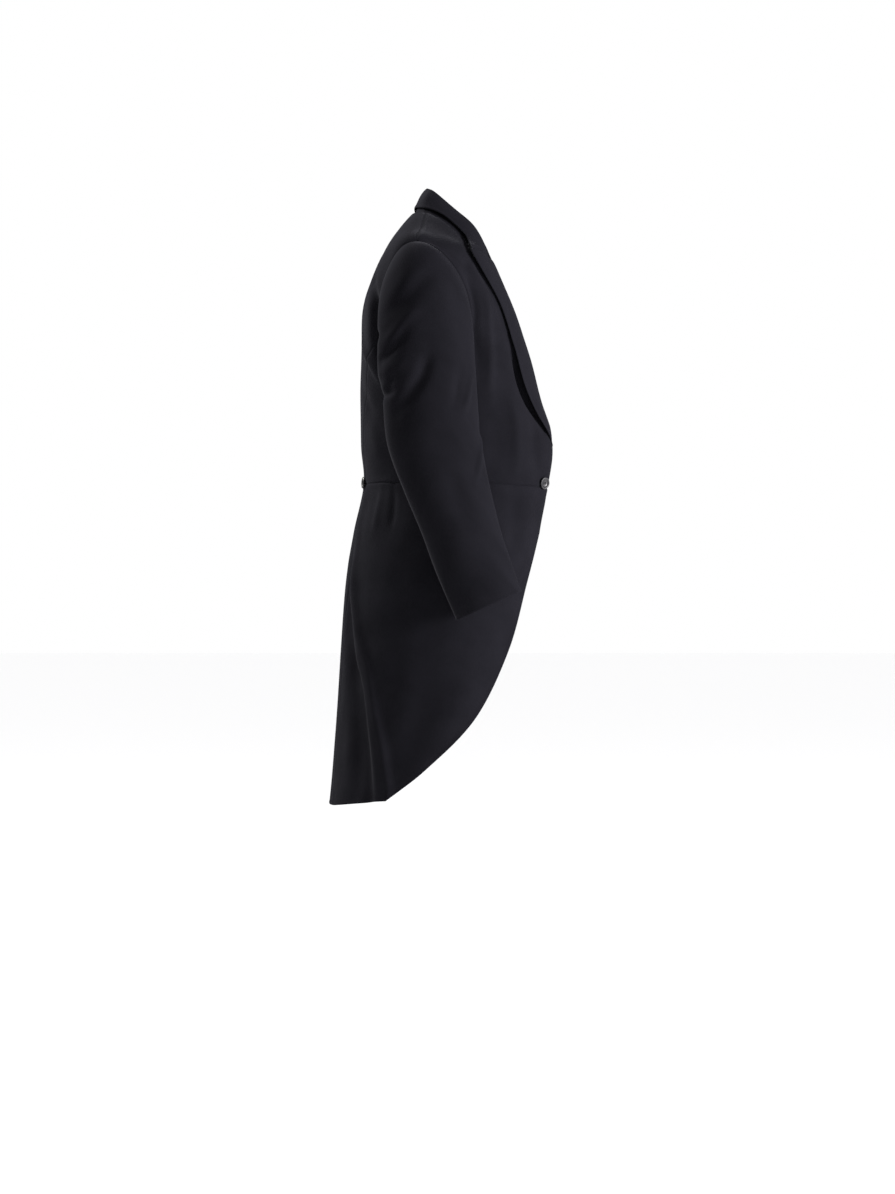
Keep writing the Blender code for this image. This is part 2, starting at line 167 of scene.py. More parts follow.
FALL_SHARE, FALL_OUT, FALL_UP = 0.45, 0.0014, 0.0010  # the leaf is rounded between crest and edge
HEAD_SEAMS = 4  # the sleeve begins this many seam gaps inside the armhole
HEAD_BACK, HEAD_RISE, HEAD_FULL, HEAD_DROP = 0.2, 0.02, 0.35, 0.5  # how the sleeve's head leaves the armhole

# Folds as height and width in millimetres, strength at the start and at the end, and the places that each
# runs through: (turn, level) on the body and skirt, (degrees, place) on the sleeves
BODY_RIGHT = [
    (4.2, 9, 0.1, 0.5, [(0.15, 9.7), (0.212, 9.07), (0.39, 8.68), (0.522, 8.3), (0.62, 8.0)]),
    (-20.0, 14, 0.2, 0.3, [(0.41, 10.4), (0.49, 9.9), (0.525, 9.45), (0.53, 9.02), (0.59, 8.62),
                           (0.66, 8.3)]),
    (-2.2, 15, 0.0, 0.3, [(0.10, 8.6), (0.22, 8.1), (0.36, 7.6), (0.46, 7.1)]),
    (1.8, 14, 0.0, 0.2, [(0.34, 7.7), (0.42, 7.1), (0.45, 6.5)]),
    (-9.0, 13, 0.5, 0.3, [(1.425, 10.6), (1.365, 10.0), (1.308, 9.41), (1.262, 8.8), (1.222, 8.28)]),
    (3.6, 8, 0.4, 0.2, [(1.50, 10.64), (1.502, 10.03), (1.47, 9.57), (1.40, 8.9), (1.335, 8.29),
                        (1.30, 7.8)]),
    (-9.0, 8, 0.2, 0.3, [(1.615, 9.2), (1.63, 8.7), (1.64, 8.2), (1.67, 7.9), (1.725, 7.6), (1.795, 7.3)]),
    (-3.0, 6, 0.6, 0.6, [(1.48, 10.95), (1.56, 10.5), (1.60, 10.0), (1.61, 9.4)]),
    (-4.0, 12, 0.1, 0.4, [(1.66, 7.5), (1.62, 7.2), (1.62, 6.84), (1.66, 6.5), (1.71, 6.25)]),
    (3.4, 11, 0.0, 0.5, [(1.50, 8.3), (1.475, 7.6), (1.445, 7.0), (1.44, 6.3)]),
    (-2.0, 16, 0.1, 0.4, [(1.30, 7.6), (1.28, 7.0), (1.27, 6.3)]),
]
SKIRT_RIGHT = [
    (4.2, 9, 0.1, 0.9, [(0.20, 5.75), (0.265, 4.83), (0.29, 4.2), (0.405, 3.38), (0.512, 2.86), (0.578, 2.36),
                        (0.633, 1.85), (0.677, 1.4), (0.72, 0.64), (0.73, 0.0)]),
    (-9.0, 15, 0.0, 0.9, [(0.16, 4.1), (0.25, 3.16), (0.36, 2.75), (0.44, 2.42), (0.51, 1.69), (0.56, 1.0),
                          (0.59, 0.22), (0.59, 0.0)]),
    (2.4, 8, 0.5, 0.0, [(0.44, 5.95), (0.453, 5.4), (0.453, 4.8)]),
    (-3.0, 6, 0.5, 0.0, [(0.56, 5.98), (0.59, 5.42), (0.60, 4.95)]),
    (3.4, 16, 0.4, 0.0, [(1.57, 5.95), (1.655, 5.05), (1.70, 4.3)]),
    (-2.6, 15, 0.3, 0.0, [(1.42, 5.95), (1.49, 5.1), (1.53, 4.3)]),
    (3.4, 30, 0.0, 0.2, [(1.05, 4.0), (1.20, 3.0), (1.18, 2.3), (1.08, 1.7), (0.96, 0.9)]),
    (-2.8, 28, 0.1, 0.2, [(0.86, 4.9), (0.90, 3.8), (0.90, 2.6), (0.85, 1.5), (0.82, 0.5)]),
    (-3.0, 12, 0.0, 0.7, [(0.07, 4.6), (0.085, 3.2), (0.10, 1.6), (0.11, 0.0)]),
]
SLEEVE_RIGHT = [
    (-2.6, 13, 0.1, 0.2, [(24, 0.172), (4.5, 0.198), (-23, 0.242), (-42, 0.254), (-59, 0.262)]),
    (1.6, 14, 0.2, 0.2, [(22, 0.138), (0, 0.168), (-22, 0.200), (-50, 0.222)]),
    (-4.6, 8, 0.1, 0.7, [(-18, 0.292), (-33, 0.330), (-51, 0.357), (-70, 0.370)]),
    (2.4, 10, 0.1, 0.4, [(4, 0.252), (-18, 0.280), (-44, 0.316), (-72, 0.330)]),
    (-5.6, 11, 0.1, 0.4, [(4, 0.345), (-0.5, 0.383), (-9.5, 0.429), (-25.5, 0.471), (-47.5, 0.510)]),
    (-2.6, 6, 0.2, 0.6, [(-44, 0.408), (-54, 0.438), (-66, 0.450)]),
    (2.2, 9, 0.1, 0.5, [(-20, 0.366), (-36, 0.390), (-58, 0.402), (-76, 0.406)]),
    (3.4, 6, 0.4, 0.1, [(64, 0.43), (53, 0.48), (41.5, 0.53)]),
    (-2.8, 9, 0.3, 0.1, [(44, 0.40), (36, 0.46), (28, 0.52)]),
    (3.2, 6, 0.6, 0.1, [(84, 0.59), (62, 0.655), (40, 0.725)]),
    (-5.5, 7, 0.1, 0.3, [(-38, 0.452), (-58, 0.459), (-82, 0.463), (-104, 0.466)]),
    (-4.0, 8, 0.0, 0.2, [(-70, 0.305), (-96, 0.284), (-118, 0.272)]),
    (2.5, 14, 0.0, 0.0, [(-110, 0.36), (-96, 0.40), (-84, 0.44)]),
    (-3.2, 10, 0.2, 0.2, [(128, 0.40), (160, 0.44), (200, 0.45), (246, 0.46)]),
    (2.4, 11, 0.2, 0.2, [(124, 0.46), (165, 0.50), (205, 0.51), (250, 0.52)]),
    (-2.6, 10, 0.3, 0.1, [(118, 0.53), (100, 0.56), (78, 0.60)]),
    (-2.4, 16, 0.1, 0.1, [(12, 0.62), (10, 0.74), (16, 0.88)]),
]
BODY_LEFT = [
    (3.6, 10, 0.1, 0.4, [(0.14, 9.5), (0.23, 8.95), (0.38, 8.5), (0.54, 8.1), (0.60, 7.7)]),
    (-17.0, 14, 0.2, 0.3, [(0.40, 10.2), (0.48, 9.7), (0.52, 9.25), (0.54, 8.9), (0.60, 8.5), (0.66, 8.1)]),
    (-2.0, 16, 0.0, 0.3, [(0.12, 8.3), (0.25, 7.8), (0.38, 7.3), (0.44, 6.8)]),
    (-8.0, 13, 0.5, 0.3, [(1.42, 10.55), (1.37, 9.9), (1.30, 9.3), (1.255, 8.7), (1.225, 8.1)]),
    (3.2, 9, 0.4, 0.2, [(1.495, 10.6), (1.495, 9.95), (1.455, 9.4), (1.39, 8.75), (1.33, 8.1)]),
    (-8.5, 8, 0.2, 0.3, [(1.62, 9.1), (1.63, 8.6), (1.645, 8.1), (1.68, 7.8), (1.73, 7.5), (1.80, 7.25)]),
    (-3.0, 6, 0.6, 0.6, [(1.48, 10.95), (1.56, 10.5), (1.60, 10.0), (1.61, 9.4)]),
    (-3.4, 13, 0.1, 0.4, [(1.65, 7.45), (1.61, 7.15), (1.61, 6.75), (1.65, 6.4)]),
    (2.6, 14, 0.0, 0.4, [(1.49, 8.1), (1.46, 7.5), (1.435, 6.9), (1.43, 6.25)]),
    (-1.8, 16, 0.1, 0.4, [(1.29, 7.4), (1.27, 6.9), (1.265, 6.2)]),
]
SKIRT_LEFT = [
    (3.0, 10, 0.1, 0.7, [(0.20, 5.7), (0.25, 4.8), (0.30, 4.0), (0.41, 3.3), (0.51, 2.7), (0.58, 2.1),
                         (0.63, 1.4), (0.66, 0.7), (0.67, 0.0)]),
    (-8.0, 15, 0.0, 0.9, [(0.16, 4.0), (0.27, 3.1), (0.36, 2.5), (0.43, 1.9), (0.48, 1.1), (0.51, 0.0)]),
    (2.2, 9, 0.5, 0.0, [(0.48, 5.95), (0.49, 5.3), (0.485, 4.6)]),
    (-2.6, 7, 0.4, 0.0, [(0.60, 5.95), (0.63, 5.4), (0.64, 5.0)]),
    (3.0, 17, 0.4, 0.0, [(1.55, 5.95), (1.63, 5.1), (1.68, 4.4)]),
    (-2.4, 15, 0.3, 0.0, [(1.40, 5.95), (1.46, 5.0), (1.50, 4.2)]),
    (3.0, 30, 0.0, 0.2, [(1.02, 4.2), (1.16, 3.1), (1.14, 2.2), (1.04, 1.4), (0.95, 0.8)]),
    (-2.6, 28, 0.1, 0.2, [(0.84, 5.0), (0.87, 3.6), (0.86, 2.4), (0.80, 1.2), (0.78, 0.4)]),
    (-2.6, 12, 0.0, 0.6, [(0.08, 4.4), (0.09, 3.0), (0.10, 1.4), (0.10, 0.0)]),
]
SLEEVE_LEFT = [
    (-2.8, 14, 0.1, 0.2, [(20, 0.186), (3, 0.210), (-18, 0.236), (-38, 0.256), (-56, 0.27)]),
    (1.6, 15, 0.2, 0.2, [(24, 0.14), (2, 0.17), (-20, 0.198), (-48, 0.22)]),
    (-4.0, 9, 0.1, 0.7, [(-12, 0.306), (-30, 0.338), (-50, 0.358), (-72, 0.366)]),
    (2.2, 11, 0.1, 0.4, [(6, 0.262), (-16, 0.286), (-46, 0.312), (-70, 0.320)]),
    (-5.0, 11, 0.1, 0.4, [(6, 0.360), (-4, 0.412), (-18, 0.462), (-44, 0.50)]),
    (2.6, 9, 0.1, 0.5, [(-10, 0.375), (-30, 0.402), (-58, 0.412), (-78, 0.415)]),
    (3.0, 8, 0.3, 0.1, [(64, 0.44), (54, 0.495), (44, 0.545)]),
    (-2.6, 9, 0.3, 0.1, [(46, 0.41), (37, 0.47), (30, 0.53)]),
    (2.4, 8, 0.5, 0.1, [(80, 0.62), (60, 0.675), (42, 0.73)]),
    (-5.0, 8, 0.1, 0.3, [(-36, 0.448), (-58, 0.453), (-82, 0.457), (-104, 0.46)]),
    (-3.6, 8, 0.0, 0.2, [(-72, 0.30), (-96, 0.282), (-116, 0.27)]),
    (-3.0, 10, 0.2, 0.2, [(128, 0.41), (162, 0.45), (200, 0.455), (246, 0.465)]),
    (2.2, 11, 0.2, 0.2, [(124, 0.47), (165, 0.505), (205, 0.515), (250, 0.525)]),
    (-2.2, 16, 0.1, 0.1, [(8, 0.63), (12, 0.75), (14, 0.88)]),
]
UNDER_COLLAR = [
    (-2.5, 5, 1, 1, [(0.0, 12.82), (0.5, 12.82), (1.0, 12.79), (1.24, 12.64), (1.43, 12.30), (1.485, 11.7),
                     (1.52, 11.1)]),
]
FOLDS = {"left": (BODY_LEFT, SKIRT_LEFT, SLEEVE_LEFT), "right": (BODY_RIGHT, SKIRT_RIGHT, SLEEVE_RIGHT)}


def track(table, at):
    """Each column of a table at the places asked for, on a smooth curve through its rows."""
    rows = np.array(table, float)
    knots, values = rows[:, 0], rows[:, 1:]
    slopes = np.gradient(values, knots, axis=0)
    at = np.clip(np.asarray(at, float), knots[0], knots[-1])
    i = np.clip(np.searchsorted(knots, at, side="right") - 1, 0, len(knots) - 2)
    step = (knots[i + 1] - knots[i])[..., None]
    u = ((at - knots[i])[..., None]) / step
    start = values[i] * (1 + 2 * u) * (1 - u) ** 2 + slopes[i] * step * u * (1 - u) ** 2
    end = values[i + 1] * (3 - 2 * u) * u**2 + slopes[i + 1] * step * u**2 * (u - 1)
    return np.moveaxis(start + end, -1, 0)


def form(turn, level):
    """A point on the outside of the coat's body, left half."""
    turn, level = np.broadcast_arrays(np.asarray(turn, float), np.asarray(level, float))
    back_y, back_z, side_x, side_y, side_z, front_x, front_y, front_z, back_round = track(SECTIONS, level)
    angle = np.clip(turn, 0, 1) * math.pi / 2
    ahead = np.clip(turn - 1, 0, 1) * math.pi / 2
    behind = turn < 1
    across = np.abs(np.sin(angle)) ** back_round
    along = np.abs(np.cos(angle)) ** back_round
    x = np.where(behind, side_x * across, front_x + (side_x - front_x) * np.abs(np.cos(ahead)) ** FRONT_ROUND)
    y_behind = side_y + (back_y - side_y) * along
    y_ahead = side_y + (front_y - side_y) * np.abs(np.sin(ahead)) ** FRONT_ROUND
    z_behind = side_z + (back_z - side_z) * np.cos(angle) ** 2
    z_ahead = side_z + (front_z - side_z) * np.sin(ahead) ** 2
    return np.stack([x, np.where(behind, y_behind, y_ahead), np.where(behind, z_behind, z_ahead)], -1)


def outward(turn, level):
    """The body's outward direction there."""
    step = 0.004
    low, high = np.clip(turn - step, 0, 2), np.clip(turn + step, 0, 2)
    round_it = form(high, level) - form(low, level)
    up_it = form(turn, np.clip(level + step, 0, NECK)) - form(turn, np.clip(level - step, 0, NECK))
    normal = np.cross(up_it, round_it)
    return normal / np.maximum(np.linalg.norm(normal, axis=-1, keepdims=True), 1e-12)


def turn_at_y(y, level):
    """The turn where the body has this y."""
    back_y, _, _, side_y, _, _, front_y, _, back_round = track(SECTIONS, level)
    ahead = np.clip((side_y - y) / (side_y - front_y), 0, 1) ** (1 / FRONT_ROUND)
    behind = np.clip((y - side_y) / (back_y - side_y), 0, 1) ** (1 / back_round)
    return np.where(y < side_y, 1 + np.arcsin(ahead) * 2 / math.pi, np.arccos(behind) * 2 / math.pi)


def skirt_form(turn, level):
    """The body below the waist, with the skirt's main fold."""
    point = form(turn, level)
    lift = np.zeros(np.shape(point)[:-1])
    for height, width, *turns in SKIRT_FOLDS:
        middle = track(list(enumerate(turns)), level)[0]
        apart = np.linalg.norm(point - form(middle, level), axis=-1)
        fade = np.clip((WAIST - level) / FOLD_FADE, 0, 1) * np.clip((level + HEM_FADE) / (3 * HEM_FADE), 0, 1)
        lift += height * fade * np.exp(-((apart / width) ** 2))
    return point + outward(turn, level) * lift[..., None]


def whole_form(turn, level):
    """The body above the waist and the skirt below it."""
    return np.where((np.asarray(level) < WAIST)[..., None], skirt_form(turn, level), form(turn, level))


def armhole(degrees):
    """Turn and level of the armhole, from the shoulder forwards."""
    angle = np.radians(degrees)
    reach = np.where(np.sin(angle) > 0, ARMHOLE_FRONT, ARMHOLE_BACK)
    return 1 + reach * np.sin(angle), ARMHOLE_LEVEL + np.cos(angle)


def armhole_turn(level, ahead):
    """The turn of the armhole's front or back edge at a level."""
    half = np.sqrt(np.clip(1 - (level - ARMHOLE_LEVEL) ** 2, 0, 1))
    return 1 + half * ARMHOLE_FRONT if ahead else 1 - half * ARMHOLE_BACK


def back_surface(s, level):
    seam = np.where(level < WAIST, track(PLEAT, level)[0], track(BACK_SEAM, level)[0])
    above = np.where(level < SHOULDER, armhole_turn(level, False), 1.0)
    edge = np.where(level <= SEAM_AT_ARMHOLE, seam, above)
    return whole_form(edge * s, level)


def side_surface(s, level):
    inner = track(BACK_SEAM, level)[0]
    outer = np.where(level < ARMPIT, 1.0, armhole_turn(level, False))
    return form(inner + (outer - inner) * s, level)


def fore_surface(s, level):
    inner = np.where(level < ARMPIT, 1.0, np.where(level < SHOULDER, armhole_turn(level, True), 1.0))
    return form(inner + (2 - inner) * s, level)


def skirt_surface(s, level):
    inner = track(PLEAT, level)[0]
    outer = turn_at_y(track(CUTAWAY, level)[0], level)
    return skirt_form(inner + (outer - inner) * s**SKIRT_SPREAD, level)


def lapel_place(s, level):
    """Turn and level under the lapel, from the roll line at s 0 to its free edge at s 1."""
    rise = track(LAPEL_TOP, s)[0] - SHOULDER
    level = level + rise * np.clip((level - ARMHOLE_LEVEL) / (SHOULDER - ARMHOLE_LEVEL), 0, 1) ** TOP_REACH
    return 2 + (track(LAPEL_EDGE, level)[0] - 2) * s, level


def lapel_surface(u, level):
    """The lapel, from behind the forepart's edge (u below 0) round its roll and out to the free edge."""
    s = np.clip(u, 0, 1)
    turn, high = lapel_place(s, level)
    roll = np.clip(level - LAPEL_EDGE[0][0], 0, 1)
    begins = np.clip(roll * 3, 0, 1)
    loose = (LOOSE + BELLY * bump(high, BELLY_AT, BELLY_HEIGHT)) * s**3 * begins
    stand = (CLOTH + 2 * CLEAR) * (LAPEL_FLAT + (1 - LAPEL_FLAT) * smooth(roll * 2))
    lift = stand + ROLL * (1 - s) ** 2 * roll + loose
    top = form(turn, high) + outward(turn, high) * lift[..., None]
    above = stand + ROLL * roll
    below = -(CLOTH + WALL + CLEAR) * begins + above * ROLL_FLAT * (1 - begins)
    angle = np.clip(-u / WRAP, 0, 1) * math.pi
    middle, radius = (above + below) / 2, (above - below) / 2
    out, ahead = outward(2.0 + 0 * u, high), np.array([-1.0, 0, 0])
    round_it = form(2.0 + 0 * u, high) + out * (middle + radius * np.cos(angle))[..., None]
    round_it = round_it + ahead * (radius * np.sin(angle))[..., None]
    return np.where((u < 0)[..., None], round_it, top)


def collar_surface(way, t):
    """The collar, from the neck seam over its fold and down its leaf, its front end sewn to the lapel."""
    turn = np.abs(way)
    gorge = lapel_surface(GORGE_SHARE * np.clip(t * 2 - 1, 0, 1), SHOULDER)
    drawn = (smooth((turn - DRAWN_TURN) / DRAWN_TURNS) * smooth((t - DRAWN_T) / DRAWN_TS))[..., None]
    point = collar_form(turn, t) + (gorge - collar_form(2 + 0 * turn, t)) * drawn
    return point * np.stack([np.sign(way), np.ones_like(way), np.ones_like(way)], -1)


def collar_form(turn, t):
    """One half of the collar before its front end is drawn to the lapel."""
    fold_x, fold_y, fold_z, edge_turn, edge_level = track(COLLAR, turn)
    seam = form(turn, NECK) + np.array([0, 0, 2 * SEAM])
    fold = np.stack([fold_x, fold_y, fold_z], -1)
    away = fold * [1, 1, 0] - [0, NECK_CENTRE_Y, 0]
    away = away / np.linalg.norm(away, axis=-1, keepdims=True)
    edge = form(edge_turn, edge_level) + outward(edge_turn, edge_level) * (CLOTH + CLEAR + LOOSE)
    crest = fold + away * 2 * ROLL
    top = fold + away * ROLL + np.array([0, 0, COLLAR_TOP])
    fall = crest * (1 - FALL_SHARE) + edge * FALL_SHARE + away * FALL_OUT + np.array([0, 0, FALL_UP])
    weights = track([(stop, *row) for stop, row in zip(COLLAR_STOPS, np.eye(6))], t)
    return sum(w[..., None] * p for w, p in zip(weights, (seam, fold, top, crest, fall, edge)))


def sleeve_ring(place, degrees):
    """A point round the arm of the sleeve, from its outer side forwards."""
    x, y, z, across, fore_aft, lean = track(SLEEVE, place)
    angle, lean = np.radians(degrees), np.radians(lean)
    ahead = fore_aft * np.sin(angle)
    return np.stack([x + across * np.cos(angle), y - ahead * np.cos(lean), z + ahead * np.sin(lean)], -1)


def sleeve_surface(degrees, t):
    """The sleeve, from the armhole over its head and down to the cuff."""
    turn, level = armhole(degrees)
    root = form(turn, level)
    middle = form(1.0, ARMHOLE_LEVEL)
    inward = middle - root
    root = root + inward / np.linalg.norm(inward, axis=-1, keepdims=True) * HEAD_SEAMS * SEAM
    ring = sleeve_ring(np.zeros_like(t), degrees)
    reach = np.linalg.norm(ring - root, axis=-1, keepdims=True)
    backwards = HEAD_BACK * np.clip(-np.sin(np.radians(degrees)), 0, 1)
    rise = np.stack([np.ones_like(t), backwards, HEAD_RISE * np.cos(np.radians(degrees))], -1)
    u = np.clip(t / CAP_SHARE, 0, 1)[..., None]
    first, second = root + rise * reach * HEAD_FULL, ring + np.array([0, 0, HEAD_DROP]) * reach
    head = root * (1 - u) ** 3 + 3 * first * u * (1 - u) ** 2 + 3 * second * u**2 * (1 - u) + ring * u**3
    arm = sleeve_ring(SLEEVE[-1][0] * np.clip((t - CAP_SHARE) / (1 - CAP_SHARE), 0, 1), degrees)
    return np.where((t < CAP_SHARE)[..., None], head, arm)


def smooth(x):
    """0 below 0, 1 above 1, and an even rise between."""
    x = np.clip(x, 0, 1)
    return x * x * (3 - 2 * x)


def bump(distance, at, width):
    return np.exp(-(((distance - at) / width) ** 2))


def fold_lift(points, folds, base):
    """How far each point stands proud of the form because of the folds near it."""
    lift = np.zeros(points.shape[:-1])
    for height, width, start, end, path in folds:
        rows = [(i / (len(path) - 1), *place) for i, place in enumerate(path)]
        line = base(*track(rows, np.linspace(0, 1, FOLD_POINTS)))
        nearest = np.full(lift.shape, np.inf)
        place = np.zeros(lift.shape)
        for i in range(len(line) - 1):
            step = line[i + 1] - line[i]
            share = np.clip((points - line[i]) @ step / max(step @ step, 1e-12), 0, 1)
            apart = np.linalg.norm(points - line[i] - share[..., None] * step, axis=-1)
            closer = apart < nearest
            nearest = np.where(closer, apart, nearest)
            place = np.where(closer, (i + share) / (len(line) - 1), place)
        strength = start + (1 - start) * smooth(place / FOLD_END)
        strength = strength * (end + (1 - end) * smooth((1 - place) / FOLD_END))
        lift += height * MM * strength * bump(nearest, 0, width * MM)
    return lift


def ripple(points, seed):
    """A gentle unevenness of the cloth, the same for pieces that meet."""
    rng = np.random.default_rng(seed)
    total = np.zeros(points.shape[:-1])
    for _ in range(RIPPLE_WAVES):
        direction = rng.normal(size=3)
        length = rng.uniform(RIPPLE_SHORTEST, RIPPLE_LONGEST)
        direction *= 2 * math.pi / (length * np.linalg.norm(direction))
        total += np.sin(points @ direction + rng.uniform(0, 2 * math.pi))
    return total * RIPPLE / RIPPLE_SUM


def stations(length, count):
    """Places along lines of these lengths: close together at both ends and even between."""
    near = NEAR * np.minimum(1, length[:, None] / (SHORT_LINE * NEAR[-1]))
    share = np.linspace(0, 1, count + 2)[1:-1]
    low, high = near[:, -1:], length[:, None] - near[:, -1:]
    return np.concatenate([near, low + (high - low) * share, length[:, None] - near[:, ::-1]], axis=1)


def running(points):
    """Length along each row of points from its first one."""
    steps = np.linalg.norm(np.diff(points, axis=1), axis=-1)
    return np.concatenate([np.zeros((len(points), 1)), np.cumsum(steps, axis=1)], axis=1)


def lay_out(surface, low, high, bottom, top, spacing, extra):
    """Places across and along a piece by length, with closer rows and columns at its borders."""
    extra = [level for level in extra if bottom < level < top]
    fine = np.unique(np.concatenate([np.linspace(bottom, top, RULER_ROWS), extra]))
    steps = 0
    for share in (0.02, 0.5, 0.98):
        column = surface(np.full(fine.shape, low + (high - low) * share), fine)
        steps = np.maximum(steps, np.linalg.norm(np.diff(column, axis=0), axis=-1))
    ruler = np.concatenate([[0], np.cumsum(steps)])
    rows = np.interp(stations(ruler[-1:], int(ruler[-1] / spacing))[0], ruler, fine)
    dense = np.linspace(low, high, RULER_COLUMNS)
    lines = running(surface(*np.broadcast_arrays(dense[None, :], rows[:, None])))
    wanted = stations(lines[:, -1], int(np.percentile(lines[:, -1], 90) / spacing))
    across = np.stack([np.interp(want, line, dense) for want, line in zip(wanted, lines)])
    return across, np.broadcast_to(rows[:, None], across.shape)


def grid_normals(points, facing):
    """Outward directions of a grid of points."""
    down, right = np.gradient(points, axis=0), np.gradient(points, axis=1)
    normal = np.cross(down, right) * facing
    return normal / np.maximum(np.linalg.norm(normal, axis=-1, keepdims=True), 1e-12)


def soften(points, amount, rounds):
    """Evens out a grid of points where the amount isn't 0."""
    for _ in range(rounds):
        mean = (points[:-2, 1:-1] + points[2:, 1:-1] + points[1:-1, :-2] + points[1:-1, 2:]) / 4
        points[1:-1, 1:-1] += (mean - points[1:-1, 1:-1]) * amount[1:-1, 1:-1, None]


def border_lift(kind, distance, level):
    """A seam's groove, or an edge's roll, at these distances from a border."""
    depth = WAIST_DEPTH if kind == "waist" else SEAM_DEPTH
    seam = ALLOWANCE * bump(distance, ALLOWANCE_AT, ALLOWANCE_WIDTH) - depth * bump(distance, 0, SEAM_WIDTH)
    swell = EDGE_SWELL * bump(distance, EDGE_SWELL_AT, EDGE_SWELL_WIDTH)
    edge = swell - EDGE_DROP * bump(distance, 0, EDGE_DROP_WIDTH)
    if kind in ("seam", "waist", "neck", "gorge"):
        return seam
    if kind == "edge":
        return edge
    if kind == "vent":
        return np.where(level < WAIST, edge, seam)
    return np.zeros(distance.shape)


def turned_under(points, normals, borders):
    """The grid of points with strips added at its seams, that run on under the next piece."""
    for border, kind in enumerate(borders):
        if kind not in TURNED:
            continue
        beyond, deep = TURNED[kind]
        axis, backwards = 1 - border // 2, slice(None, None, -1 if border % 2 else 1)
        grid = np.moveaxis(points, axis, 0)[backwards]
        normal = np.moveaxis(normals, axis, 0)[backwards]
        ahead = grid[0] - grid[3]
        ahead = ahead / np.maximum(np.linalg.norm(ahead, axis=-1, keepdims=True), 1e-9)
        first = grid[0] + ahead * TURN_FIRST - normal[0] * deep * TURN_FIRST_DEEP
        second = grid[0] + ahead * beyond - normal[0] * deep
        grid = np.concatenate([second[None], first[None], grid])[backwards]
        normal = np.concatenate([normal[:1], normal[:1], normal])[backwards]
        points, normals = np.moveaxis(grid, 0, axis), np.moveaxis(normal, 0, axis)
    return points


def cloth_mesh(name, points, sides, flipped, finish):
    """A cloth wall from a grid of points, with its length across and along as texture places."""
    rows, columns = points.shape[:2]
    index = np.arange(rows * columns).reshape(rows, columns)
    quads = np.stack([index[:-1, :-1], index[:-1, 1:], index[1:, 1:], index[1:, :-1]], -1).reshape(-1, 4)
    if flipped:
        quads = quads[:, ::-1]
    mesh = bpy.data.meshes.new(name)
    mesh.from_pydata(points.reshape(-1, 3).tolist(), [], quads.tolist())
    layer = mesh.uv_layers.new(name="cut")
    corners = np.empty(len(mesh.loops), dtype=np.int32)
    mesh.loops.foreach_get("vertex_index", corners)
    layer.data.foreach_set("uv", sides.reshape(-1, 2)[corners].ravel())
    mesh.materials.append(finish)
    mesh.shade_smooth()
    piece = bpy.data.objects.new(name, mesh)
    bpy.context.scene.collection.objects.link(piece)
    wall = piece.modifiers.new("cloth", "SOLIDIFY")
    wall.thickness = WALL
    wall.offset = -1
    return piece


def cloth_piece(node, word, surface, spans, facing, borders, folds, base, finish):
    """One sewn piece: its grid, folds, seams and edges, then it is attached to the root and the model's own
    piece is hidden.
    """
    low, high, bottom, top, spacing = spans
    side = -1 if word == "right" else 1
    hole_levels = [float(armhole(degrees)[1]) for degrees in range(0, 181)]
    across, level = lay_out(surface, low, high, bottom, top, spacing, hole_levels)
    points = surface(across, level)
    from_low = running(points)
    from_high = from_low[:, -1:] - from_low
    from_bottom = running(points.transpose(1, 0, 2)).T
    from_top = from_bottom[-1:] - from_bottom
    distances = (from_low, from_high, from_bottom, from_top)
    nearest = np.minimum.reduce([d for d, kind in zip(distances, borders) if kind not in ("open", "stand")])
    if node == "forepart":
        inside = SHOULDER_SOFT * smooth((nearest - SHOULDER_KEPT) / SHOULDER_KEPT_OVER)
        soften(points, inside * smooth((level - SHOULDER_FROM) / SHOULDER_OVER), SHOULDER_ROUNDS)
    normals = grid_normals(points, facing)
    lift = fold_lift(points, folds, base)
    if node in ("back", "side_body", "forepart"):
        rim = form(*armhole(np.arange(-180, 180, 5.0)))
        apart = np.linalg.norm(points[:, :, None] - rim, axis=-1).min(-1)
        lift *= smooth(apart / ARMHOLE_CALM)
    if node in ("top_sleeve", "under_sleeve"):
        lift *= smooth(from_bottom / HEAD_CALM)
        swell = HEAD_SWELL * bump(from_bottom, HEAD_SWELL_AT, HEAD_SWELL_WIDTH)
        lift += swell * smooth(np.cos(np.radians(across)) * 1.6)
    if node == "lapel":
        lift = np.maximum(lift, LAPEL_VALLEYS * lift) * smooth(across * 3)
    lift += ripple(points, LEFT_SEED if side > 0 else RIGHT_SEED) * smooth(nearest / CALM)
    for kind, distance in zip(borders, distances):
        lift += border_lift(kind, distance, level)
    points = turned_under(points + normals * lift[..., None], normals, borders)
    from_low, from_bottom = running(points), running(points.transpose(1, 0, 2)).T
    places = np.stack([from_low - from_low[:, -1:] / 2, from_bottom], -1)
    points = points * [side, 1, 1]
    name = f"{node}_{word}" if word else node
    piece = cloth_mesh(f"{name}_cloth", points, places, (facing > 0) == (side > 0), finish)
    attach(piece, "root")
    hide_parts(name)


def add_node(tree, kind, **values):
    """A new shader node with these settings and input values."""
    node = tree.nodes.new(kind)
    for key, value in values.items():
        if hasattr(node, key):
            setattr(node, key, value)
        else:
            node.inputs[key.replace("_", " ")].default_value = value
    return node


def new_material(name):
    """A new material, its node tree and its shader."""
    material = bpy.data.materials.new(name)
    material.use_nodes = True
    return material, material.node_tree, material.node_tree.nodes["Principled BSDF"]


def shade(tree, shader, source, low, high):
    """Colours the shader between two shades, each its place on the ramp and its colour."""
    shades = add_node(tree, "ShaderNodeValToRGB")
    for element, (position, colour) in zip(shades.color_ramp.elements, (low, high)):
        element.position = position
        element.color = (*colour, 1)
    tree.links.new(source, shades.inputs["Fac"])
    tree.links.new(shades.outputs["Color"], shader.inputs["Base Color"])


